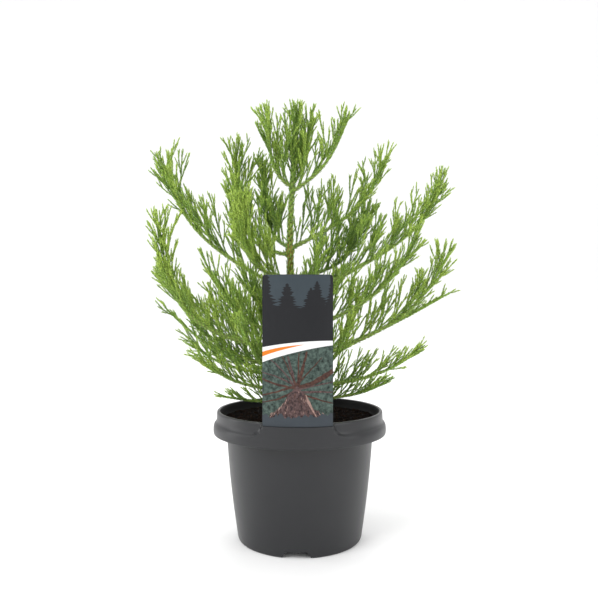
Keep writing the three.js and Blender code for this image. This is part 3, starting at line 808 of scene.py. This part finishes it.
def trunkRadius(z):
    line = trunk["line"]
    foot, tip = line[0][1], line[-1][1]
    run = min(max((z - foot) / (tip - foot), 0), 1)
    taper = trunk["tipRadius"] + (trunk["footRadius"] - trunk["tipRadius"]) * (1 - run) ** 0.8
    flare = trunk["flare"] * math.exp(-(z - foot) / trunk["flareHeight"])
    whorls = sum(size * math.exp(-((z - level) / 5) ** 2) for level, size in trunk["whorls"])
    return taper + flare + whorls


def limbLine(limb, count=64):
    # evenly spaced points along the limb, in mm
    azimuth = math.radians(limb["azimuth"])
    outward = np.array((math.cos(azimuth), math.sin(azimuth), 0.0))
    foot = trunkPoint(limb["height"])
    a, b = math.radians(limb["start"]), math.radians(limb["end"])
    reach, rise, bend = limb["reach"], limb["rise"], trunk["bend"]
    run = (reach * math.sin(b) - rise * math.cos(b)) / math.sin(b - a)
    cornerOut, cornerUp = run * math.cos(a), run * math.sin(a)

    def at(out, high):
        return foot + outward * out + np.array((0, 0, high))
    controls = [at(0, 0), at(cornerOut * bend, cornerUp * bend),
                at(reach + (cornerOut - reach) * bend, rise + (cornerUp - rise) * bend), at(reach, rise)]
    t = np.linspace(0, 1, 200)[:, None]
    curve = ((1 - t) ** 3 * controls[0] + 3 * t * (1 - t) ** 2 * controls[1]
             + 3 * t * t * (1 - t) * controls[2] + t ** 3 * controls[3])
    length = np.concatenate(([0], np.cumsum(np.linalg.norm(np.diff(curve, axis=0), axis=1))))
    even = np.linspace(0, length[-1], count)
    return np.stack([np.interp(even, length, curve[:, i]) for i in range(3)], axis=1)


# Room to grow: how far a point is outside the masses that the CAD gives the foliage

massNodes = sorted(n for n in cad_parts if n.startswith("foliage_"))
boughNodes = sorted(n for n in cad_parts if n.startswith("bough_"))


def massTree():
    verts, tris = [], []
    for node in massNodes:
        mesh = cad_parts[node].data
        first = len(verts)
        verts += [Vector(v.co) for v in mesh.vertices]
        for polygon in mesh.polygons:
            ring = list(polygon.vertices)
            for i in range(1, len(ring) - 1):
                tris.append((first + ring[0], first + ring[i], first + ring[i + 1]))
    return BVHTree.FromPolygons(verts, tris)


masses = massTree()


def outsideBy(point):
    # mm outside the nearest mass, or minus the depth inside it, and the way out
    at = Vector(point) * mm
    near, normal, _, gap = masses.find_nearest(at)
    return math.copysign(gap / mm, (at - near).dot(normal)), np.array(normal)


# The branching rule

growth = {
    "seed": 20, "step": 2.2, "wander": 0.022, "turn": 0.09,
    "shootGap": 7.0, "twigGap": 8.6, "spurGap": 13.0, "longTwig": 18,
    "thick": (0.78, 0.6, 0.5), "thin": 0.32,    # radii of shoots, twigs and spurs, and at their tips
    "leafGap": 0.80, "leafLength": 3.1, "leafWidth": 1.5, "leafTilt": 20,
    # what holds the growth in: the masses, the card and the crown's own reach
    "farthest": 20, "stray": 4, "turnBack": 0.025, "cardRoom": 4, "cardDepth": -60,
    "crown": ((-171, -100, 134), (180, 129, 483)),
}
leafColours = {  # main and second colour of each tone, from the freshest to the deepest; the deeper tones also serve as painted shade inside and behind the crown, and the fresher ones as painted light on the front left
    "freshTip": ((184, 212, 92), (170, 202, 82)), "fresh": ((158, 192, 80), (144, 180, 72)),
    "green": ((132, 168, 70), (118, 156, 62)), "deep": ((106, 140, 60), (94, 128, 54)),
    "shade": ((80, 110, 48), (70, 98, 44)),
}
shoots = []     # each: points in mm, radii at both ends, tone, leaf scale
coats = []      # leaves pressed to a stem that has bark of its own: points, radii, tone, leaf scale


def unit(v):
    return v / (np.linalg.norm(v) + 1e-12)


def climb(draw, start, heading, aim, length, stopBy, free=False):
    # a shoot's line: it turns to its aim as it grows, and ends where it leaves the crown's masses
    points = [start]
    step = growth["step"]
    heading, aim = unit(heading), unit(aim)
    travelled = 0.0
    while travelled < length:
        stray = np.array([draw.gauss(0, growth["wander"]) for _ in range(3)])
        heading = unit(heading + (aim - heading) * growth["turn"] * step + stray)
        point = points[-1] + heading * step
        travelled += step
        out, way = (-9, upright) if free else outsideBy(point)
        over = out > stopBy and travelled > 12 and way[2] > 0.75
        if over or out > growth["farthest"] or nearLabel(point) or beyondCrown(point):
            break
        if out > growth["stray"] and abs(way[2]) < 0.7:
            # well beside its mass it turns back in
            heading = unit(heading - way * growth["turnBack"])
        points.append(point)
    return np.array(points)


def nearLabel(point):
    # keeps growth behind the card
    room = growth["cardRoom"]
    if point[1] > growth["cardDepth"] or point[2] > label["top"] + room:
        return False
    r = math.hypot(point[0], point[1])
    return abs(r - label["radius"]) < room and abs(point[0]) < label["half"] + room + 1


def beyondCrown(point):
    # past the crown's reach on any side, or down at the soil
    low, high = growth["crown"]
    return bool(np.any(point < low) or np.any(point > high))


def toneIndex(tone):
    return int(min(max(round(tone), 0), len(leafColours) - 1))


def addShoot(points, thick, thin, tone, leaf):
    if len(points) >= 2:
        shoots.append((points, thick, thin, toneIndex(tone), leaf))


def sideways(draw, axis, index, tilt):
    # a direction at a tilt from an axis, turned by the golden angle from the last one
    axis = unit(axis)
    reference = np.array((0, 0, 1.0)) if abs(axis[2]) < 0.97 else np.array((1.0, 0, 0))
    across = unit(np.cross(axis, reference))
    over = np.cross(across, axis)
    roll = index * goldenAngle + draw.uniform(-0.5, 0.5)
    out = across * math.cos(roll) + over * math.sin(roll)
    return unit(axis * math.cos(tilt) + out * math.sin(tilt))


def branch(draw, points, level, tone, longest, free=False):
    # side twigs on a shoot (level 1), and spurs on the longer twigs (level 2)
    gap = growth["twigGap"] if level == 1 else growth["spurGap"]
    length = growth["step"] * (len(points) - 1)
    place = draw.uniform(0.6, 1.2) * gap
    index = draw.randrange(8)
    while place < length - 3:
        i = min(int(place / growth["step"]), len(points) - 2)
        axis = unit(points[i + 1] - points[i])
        left = length - place
        size = min(left * 0.6 + 7.0, longest) if level == 1 else min(left * 0.6 + 4.0, 12.0)
        size *= draw.uniform(0.7, 1.2)
        heading = sideways(draw, axis, index, math.radians(draw.uniform(18, 28)))
        aim = heading * 0.8 + axis * 0.4 + upright * 0.15
        stopBy = draw.uniform(1.0, 5.0) if level == 1 and longest < 20 else 6.0
        line = climb(draw, points[i], heading, aim, max(size, 4.0), stopBy, free)
        lighter = tone - 0.3 - 0.5 * draw.random() * (place / length)
        addShoot(line, growth["thick"][level], growth["thin"], lighter + draw.gauss(0, 0.35),
                 0.95 if level == 1 else 0.9)
        if level == 1 and len(line) * growth["step"] > growth["longTwig"]:
            branch(draw, line, 2, lighter, size, free)
        index += 1
        place += gap * draw.uniform(0.75, 1.3)


def limbRadius(limb, part, length):
    # a taper, thicker where the limb leaves the trunk
    return limb["radius"] * (1 - part) ** 0.7 + 0.3 + 0.9 * np.exp(-part * length / 4.0)


def lineLength(line):
    return np.linalg.norm(np.diff(line, axis=0), axis=1).sum()


def leafyFrom(limb, line):
    # how far along a limb its shoots begin: where it comes to its mass, if it doesn't say
    part = limb.get("leafy")
    if part is None:
        inside = [i for i, p in enumerate(line) if outsideBy(p + upright * 3)[0] < 0.5]
        part = inside[0] / (len(line) - 1) if inside else 0.2
    return max(part - 0.05, 0.04)


def shootAim(draw, axis, outward, across, part, fan):
    # upright along the limb, both ways off it at its tip, and a little to either side
    slope = math.degrees(math.atan2(axis[2], axis @ outward))
    spread = max(part ** 1.2, smoothStep(50, 80, slope))
    lowest = 80 + (slope - 22 - 80) * spread
    highest = 102 + (slope + 30 - 102) * spread
    tilt = math.radians(lowest + (highest - lowest) * fan + draw.gauss(0, 4))
    lean = math.radians(draw.uniform(-24, 24))
    ahead = outward * math.cos(tilt) + upright * math.sin(tilt)
    return ahead * math.cos(lean) + across * math.sin(lean)


def growPlume(limb, seed):
    # shoots along a limb from its leafy part on, each with its own twigs
    draw = random.Random(seed)
    line = limbLine(limb)
    azimuth = math.radians(limb["azimuth"])
    outward = np.array((math.cos(azimuth), math.sin(azimuth), 0.0))
    across = np.array((-outward[1], outward[0], 0.0))
    total = lineLength(line)
    spacing = total / (len(line) - 1)
    bare, free = leafyFrom(limb, line), limb.get("free", False)
    place = bare * total
    index = draw.randrange(8)
    fan = draw.random()
    while place < total - 3:
        part = place / total
        i = min(int(place / spacing), len(line) - 2)
        axis = unit(line[i + 1] - line[i])
        start = line[i] + (line[i + 1] - line[i]) * (place / spacing - i)
        fan = (fan + 0.61803) % 1
        aim = shootAim(draw, axis, outward, across, part, fan)
        heading = unit(aim * 0.75 + axis + sideways(draw, axis, index, 1.3) * 0.5)
        size = limb["shoot"] * draw.uniform(0.75, 1.3) * (1.5 - 0.6 * part)
        size = min(size, (total - place) * 1.05 + limb.get("room", 26) * draw.uniform(0.6, 1.1))
        top = (0.0, 4.0) if part > 0.62 else (4.0, 30.0)
        shoot = climb(draw, start, heading, aim, size, draw.uniform(*top), free)
        # needle tone: deeper near the trunk and fresher towards the limb's end, as growth and also as
        # painted shade inside the crown; the limb's brightness adds painted light on plumes at the front
        # left and painted shade on those at the back and low down
        tone = 2.15 - 0.9 * limb["freshAndPaintedLight"] - 0.6 * part + draw.gauss(0, 0.5)
        addShoot(shoot, growth["thick"][0], growth["thin"], tone, 1.0)
        if len(shoot) > 3:
            branch(draw, shoot, 1, tone, limb.get("twig", 26), free)
        index += 1
        place += growth["shootGap"] * draw.uniform(0.7, 1.3) / limb.get("dense", 1.0)
    # leaves pressed to the whole limb, and its own leafy end
    radii = limbRadius(limb, np.linspace(0, 1, len(line)), total)
    # the limb's brightness shifts these tones too: painted light and shade by the plume's place
    for tone in (2.4, 1.6):
        coats.append((line, radii, toneIndex(tone - 0.8 * limb["freshAndPaintedLight"]), 1.15))
    addShoot(line[int(bare * (len(line) - 1)):], 0.5, growth["thin"], 1.6, 0.9)
    return line


leader = {"from": 390, "shootsFrom": 392.0, "shootsTo": 470, "top": 475.5, "leafyFrom": 215, "leafyTo": 472,
          "sprigsFrom": 230.0, "sprigsTo": 384}


def growLeader(draw):
    # the leader above the upper whorl, the leafy stem below it, and sprigs on the bare stem
    step = growth["step"]
    tip = np.array([trunkPoint(z) for z in np.arange(leader["from"], leader["top"], step)])
    addShoot(tip, 1.6, 0.5, 1.9, 1.35)
    stem = np.array([trunkPoint(z) for z in np.arange(leader["leafyFrom"], leader["leafyTo"], step)])
    radii = np.array([trunkRadius(p[2]) for p in stem])
    for tone in (2, 1, 3):
        coats.append((stem, radii, tone, 1.5))
    z, index = leader["shootsFrom"], 0
    while z < leader["shootsTo"]:
        heading = sideways(draw, upright, index, math.radians(draw.uniform(26, 40)))
        size = min((478 - z) * 0.7 + 10, 40) * draw.uniform(0.8, 1.15)
        shoot = climb(draw, trunkPoint(z), heading, heading * 0.4 + upright, size, draw.uniform(-0.5, 2.0))
        tone = 1.8 + draw.gauss(0, 0.4)
        addShoot(shoot, growth["thick"][0], growth["thin"], tone, 1.0)
        if len(shoot) > 3:
            branch(draw, shoot, 1, tone, 20)
        index += 1
        z += draw.uniform(3.0, 5.0)
    z = leader["sprigsFrom"]
    while z < leader["sprigsTo"]:
        heading = sideways(draw, upright, index, math.radians(draw.uniform(40, 60)))
        line = [trunkPoint(z)]
        for _ in range(int(draw.uniform(6, 18) / step)):
            heading = unit(heading + upright * 0.09)
            line.append(line[-1] + heading * step)
        addShoot(np.array(line), 0.7, growth["thin"], 1.9 + draw.gauss(0, 0.5), 0.9)
        index += 1
        z += draw.uniform(7, 15)


report("branches")
limbLines = {}
for row, (name, limb) in enumerate(limbs.items()):
    limbLines[name] = growPlume(limb, growth["seed"] * 100 + row)
growLeader(random.Random(growth["seed"]))
report(f"{len(shoots)} shoots, {sum(len(s[0]) for s in shoots) * growth['step'] / 1000:.1f} m")


# Leaves and twigs from arrays

def frames(points, draw):
    # the way along a line at each point, and two ways across it
    tangent = np.gradient(points, axis=0)
    tangent /= np.linalg.norm(tangent, axis=1)[:, None] + 1e-12
    mean = unit(tangent.mean(axis=0))
    reference = unit(np.cross(mean, unit(np.array([draw.gauss(0, 1) for _ in range(3)]))))
    over = reference - tangent * (tangent @ reference)[:, None]
    over /= np.linalg.norm(over, axis=1)[:, None] + 1e-12
    return tangent, over, np.cross(tangent, over)


def sampleLeaves(points, radii, leaf, draw):
    # four corners for each leaf: two at the base, the keel and the tip, set round the stem in a spiral
    steps = np.linalg.norm(np.diff(points, axis=0), axis=1)
    run = np.concatenate(([0], np.cumsum(steps)))
    count = max(int(run[-1] / (growth["leafGap"] * (0.75 + 0.3 * leaf))), 3)
    at = np.linspace(0.3, run[-1], count)
    tangent, over, across = frames(points, draw)

    def along(table):
        return np.stack([np.interp(at, run, table[:, i]) for i in range(3)], axis=1)
    part = at / run[-1]
    roll = np.arange(count) * goldenAngle + draw.uniform(0, 6.28)
    out = along(over) * np.cos(roll)[:, None] + along(across) * np.sin(roll)[:, None]
    side = along(across) * np.cos(roll)[:, None] - along(over) * np.sin(roll)[:, None]
    scatter = np.random.default_rng(draw.randrange(1 << 30))
    tilt = np.radians(growth["leafTilt"] - 5 * part ** 3 + scatter.normal(0, 4, count))
    length = growth["leafLength"] * leaf * (1.0 - 0.2 * part ** 4) * scatter.uniform(0.8, 1.2, count)
    base = along(points) + out * np.interp(at, run, radii)[:, None]
    ahead = along(tangent)
    heading = ahead * np.cos(tilt)[:, None] + out * np.sin(tilt)[:, None]
    half = side * (growth["leafWidth"] * 0.5 * (0.7 + 0.3 * leaf))
    keel = base + heading * (length * 0.35)[:, None] + out * (0.34 * leaf)
    tip = base + heading * length[:, None] + ahead * (length * 0.12)[:, None]
    return np.stack((base + half, base - half, keel, tip), axis=1)


def twigTube(points, thick, thin, draw):
    # a three-sided tube through every other point, closed at both ends
    keep = points[::2] if len(points) > 4 else points
    if (len(points) - 1) % 2 and len(points) > 4:
        keep = np.vstack((keep, points[-1:]))
    _, over, across = frames(keep, draw)
    n, sides = len(keep), 3
    radius = np.linspace(thick, thin, n)[:, None, None] * 0.9
    angle = (np.arange(sides) * 2 * math.pi / sides)[None, :, None]
    ring = over[:, None, :] * np.cos(angle) + across[:, None, :] * np.sin(angle)
    verts = (keep[:, None, :] + ring * radius).reshape(-1, 3)
    rows, columns = np.arange(n - 1)[:, None] * sides, np.arange(sides)[None, :]
    a = (rows + columns).ravel()
    b = (rows + (columns + 1) % sides).ravel()
    last = (n - 1) * sides
    caps = np.array([(0, 2, 1), (last, last + 1, last + 2)])
    walls = (np.stack((a, b, b + sides), 1), np.stack((a, b + sides, a + sides), 1))
    return verts, np.concatenate((*walls, caps))


def leafPiece(name, corners):
    flat = corners.reshape(-1, 3) * mm
    first = np.arange(len(corners))[:, None, None] * 4
    pattern = np.array([(0, 1, 2), (0, 2, 3), (2, 1, 3), (0, 3, 1)])[None]
    return arrayObject(name, flat, (first + pattern).reshape(-1, 3))


leafCorners = [[] for _ in leafColours]
draw = random.Random(growth["seed"] + 7)
twigVerts, twigTris, twigCount = [], [], 0
for points, thick, thin, tone, leaf in shoots:
    corners = sampleLeaves(points, np.linspace(thick, thin, len(points)) * 0.7, leaf, draw)
    # the last third of a shoot is one tone fresher
    split = int(len(corners) * 0.66)
    leafCorners[tone].append(corners[:split])
    leafCorners[max(tone - 1, 0)].append(corners[split:])
    verts, tris = twigTube(points, thick, thin, draw)
    twigVerts.append(verts)
    twigTris.append(tris + twigCount)
    twigCount += len(verts)
for points, radii, tone, leaf in coats:
    leafCorners[tone].append(sampleLeaves(points, radii, leaf, draw))

report("leaves")
leafLimit, twigLimit = 49000, 190000      # leaves of four faces, and twig faces, to a piece
for (tone, (main, other)), parts in zip(leafColours.items(), leafCorners):
    corners = np.concatenate(parts)
    material = surface("needle_" + tone, srgb(*main), srgb(*other), patch=60.0, spread=0.8, grain=800.0,
                       rough=0.5, uneven=0.1, relief=0.15, gloss=0.4)
    for i in range(0, len(corners), leafLimit):
        suffix = f"_{i // leafLimit + 1}" if len(corners) > leafLimit else ""
        piece = leafPiece(f"needles_{tone}{suffix}", corners[i:i + leafLimit])
        finishPiece(piece, material, "foliage", *massNodes)
report(f"{sum(len(corners) for parts in leafCorners for corners in parts)} needles")

twigGreen = surface("twigGreen", srgb(120, 140, 66), srgb(104, 120, 58), patch=90.0, spread=0.8, grain=600.0,
                    rough=0.6, uneven=0.1, relief=0.3, gloss=0.35)
twigVerts, twigTris = np.concatenate(twigVerts), np.concatenate(twigTris)
for i in range(0, len(twigTris), twigLimit):
    tris = twigTris[i:i + twigLimit]
    used, tris = np.unique(tris, return_inverse=True)
    twigs = arrayObject(f"twigs_{i // twigLimit + 1}", twigVerts[used] * mm, tris.reshape(-1, 3))
    finishPiece(twigs, twigGreen, "foliage")
report(f"{len(twigTris)} twig faces")

# Bark: curves with a bevel, made meshes, then given their relief

bark = {"trunkStep": 1.3, "limbStep": 2.0, "ridge": 0.224, "scar": 0.11, "fine": 0.08}


def barkTube(name, points, radii, resolution):
    curve = bpy.data.curves.new(name, "CURVE")
    curve.dimensions = "3D"
    curve.bevel_depth = mm
    curve.bevel_resolution = resolution
    curve.use_fill_caps = True
    spline = curve.splines.new("POLY")
    spline.points.add(len(points) - 1)
    for node, point, radius in zip(spline.points, points, radii):
        node.co = (*(np.array(point) * mm), 1)
        node.radius = radius
    obj = bpy.data.objects.new(name, curve)
    bpy.context.collection.objects.link(obj)
    activate(obj)
    bpy.ops.object.convert(target="MESH")
    return bpy.context.object


def barkRelief(obj, size):
    # fibrous ridges up the stem, and the knobs left by old leaves
    mesh = obj.data
    for v, n in zip(mesh.vertices, [v.normal.copy() for v in mesh.vertices]):
        p = v.co / mm
        ridge = noise.noise(Vector((p.x * 1.1, p.y * 1.1, p.z * 0.10)))
        scar = noise.cell(Vector((p.x * 0.55, p.y * 0.55, p.z * 0.32)))
        fine = noise.noise(Vector((p.x * 2.3, p.y * 2.3, p.z * 0.7)))
        rise = ridge * bark["ridge"] + (scar - 0.5) * bark["scar"] + fine * bark["fine"]
        v.co += n * rise * size * mm


def barkMaterial(name, levels):
    # young stems are green-ochre above and brown below, between two heights in mm
    material = surface(name, srgb(110, 84, 58), srgb(84, 62, 44), patch=140.0, spread=0.7, grain=420.0,
                       stretch=(1, 1, 0.16), rough=0.78, uneven=0.12, relief=0.8, gloss=0.3)
    tree = material.node_tree
    shader = tree.nodes["Principled BSDF"]
    mottle = shader.inputs["Base Color"].links[0].from_node
    place = addNode(tree, "ShaderNodeTexCoord")
    split = addNode(tree, "ShaderNodeSeparateXYZ")
    height = addNode(tree, "ShaderNodeMapRange", {"From Min": levels[0] * mm, "From Max": levels[1] * mm})
    ramp = addNode(tree, "ShaderNodeValToRGB")
    ramp.color_ramp.elements[0].color = srgb(104, 78, 54)
    ramp.color_ramp.elements[1].color = srgb(134, 156, 84)
    for part, colour in ((0.5, srgb(140, 128, 72)), (0.75, srgb(156, 146, 70))):
        ramp.color_ramp.elements.new(part).color = colour
    mix = addNode(tree, "ShaderNodeMix", {"Factor": 0.72}, data_type="RGBA")
    link = tree.links.new
    link(place.outputs["Object"], split.inputs["Vector"])
    link(split.outputs["Z"], height.inputs["Value"])
    link(height.outputs["Result"], ramp.inputs["Fac"])
    link(mottle.outputs["Colour"], mix.inputs[6])
    link(ramp.outputs["Color"], mix.inputs[7])
    link(mix.outputs[2], shader.inputs["Base Color"])
    return material


report("bark")
heights = np.arange(trunk["line"][0][1], trunk["line"][-1][1] + 0.1, bark["trunkStep"])
trunkBark = barkTube("trunkBark", [trunkPoint(h) for h in heights], [trunkRadius(h) for h in heights], 5)
barkRelief(trunkBark, 1.0)
smooth(trunkBark, 50)
finishPiece(trunkBark, barkMaterial("barkTrunk", (150, 370)), "bark", "trunk")

tubes = []
for name, line in limbLines.items():
    length = lineLength(line)
    count = max(int(length / bark["limbStep"]), 12)
    pick = np.linspace(0, len(line) - 1, count)
    points = np.stack([np.interp(pick, np.arange(len(line)), line[:, i]) for i in range(3)], axis=1)
    tube = barkTube("bough", points, limbRadius(limbs[name], pick / (len(line) - 1), length), 2)
    barkRelief(tube, 0.7)
    tubes.append(tube)
deselect()
for tube in tubes:
    tube.select_set(True)
bpy.context.view_layer.objects.active = tubes[0]
bpy.ops.object.join()
boughBark = bpy.context.object
boughBark.name = boughBark.data.name = "boughBark"
smooth(boughBark, 60)
finishPiece(boughBark, barkMaterial("barkBough", (40, 170)), "bark", *boughNodes)

# Stage, light and camera

stage = {"floor": 2.2, "back": 3.2, "curve": 0.9, "height": 5.0}


def makeStage():
    # one sheet: a floor that sweeps up behind
    half, back, curve = stage["floor"] * 3.2, stage["back"], stage["curve"]
    rows = [(-stage["floor"] * 1.5, 0.0), (back - curve, 0.0)]
    rows += [(back - curve + curve * math.sin(a), curve - curve * math.cos(a))
             for a in np.linspace(0.12, math.pi / 2, 14)]
    rows.append((back, stage["height"]))
    verts = [(x, y, z) for y, z in rows for x in (-half, half)]
    faces = [(2 * i, 2 * i + 1, 2 * i + 3, 2 * i + 2) for i in range(len(rows) - 1)]
    obj = meshObject("paleSweep", verts, faces)
    smooth(obj, 60)
    material = bpy.data.materials.new("palePaper")
    material.use_nodes = True
    shader = material.node_tree.nodes["Principled BSDF"]
    shader.inputs["Base Color"].default_value = (0.92, 0.92, 0.92, 1)
    shader.inputs["Roughness"].default_value = 0.9
    shader.inputs["Specular IOR Level"].default_value = 0.1
    obj.data.materials.append(material)


def softLight(name, place, target, size, power):
    data = bpy.data.lights.new(name, "AREA")
    data.shape = "RECTANGLE"
    data.size, data.size_y = size
    data.energy = power
    obj = bpy.data.objects.new(name, data)
    obj.location = place
    obj.rotation_euler = (Vector(target) - Vector(place)).to_track_quat("-Z", "Y").to_euler()
    bpy.context.collection.objects.link(obj)


report("stage")
makeStage()
world = bpy.data.worlds.new("paleRoom")
bpy.context.scene.world = world
world.use_nodes = True
world.node_tree.nodes["Background"].inputs["Color"].default_value = (1, 1, 1, 1)
world.node_tree.nodes["Background"].inputs["Strength"].default_value = 0.95
softLight("keyLight", (-1.5, -1.5, 1.9), (0, 0, 0.25), (1.4, 1.4), 34)
softLight("stripLight", (-1.5, 0.2, 0.45), (0, 0, 0.12), (0.3, 1.0), 3.5)
softLight("fillLight", (1.9, -1.3, 1.1), (0, 0, 0.22), (1.2, 1.6), 12)
softLight("backLight", (0.3, 1.7, 2.0), (0, 0, 0.3), (2.0, 1.0), 22)
bpy.context.scene.view_settings.view_transform = "Standard"

cameraData = bpy.data.cameras.new("camera")
cameraData.lens = 38.4
cameraData.sensor_width = 36.0
camera = bpy.data.objects.new("camera", cameraData)
camera.location = (-0.0008, -0.7117, 0.2607)
camera.rotation_euler = (math.radians(90), 0, 0)
bpy.context.collection.objects.link(camera)
bpy.context.scene.camera = camera
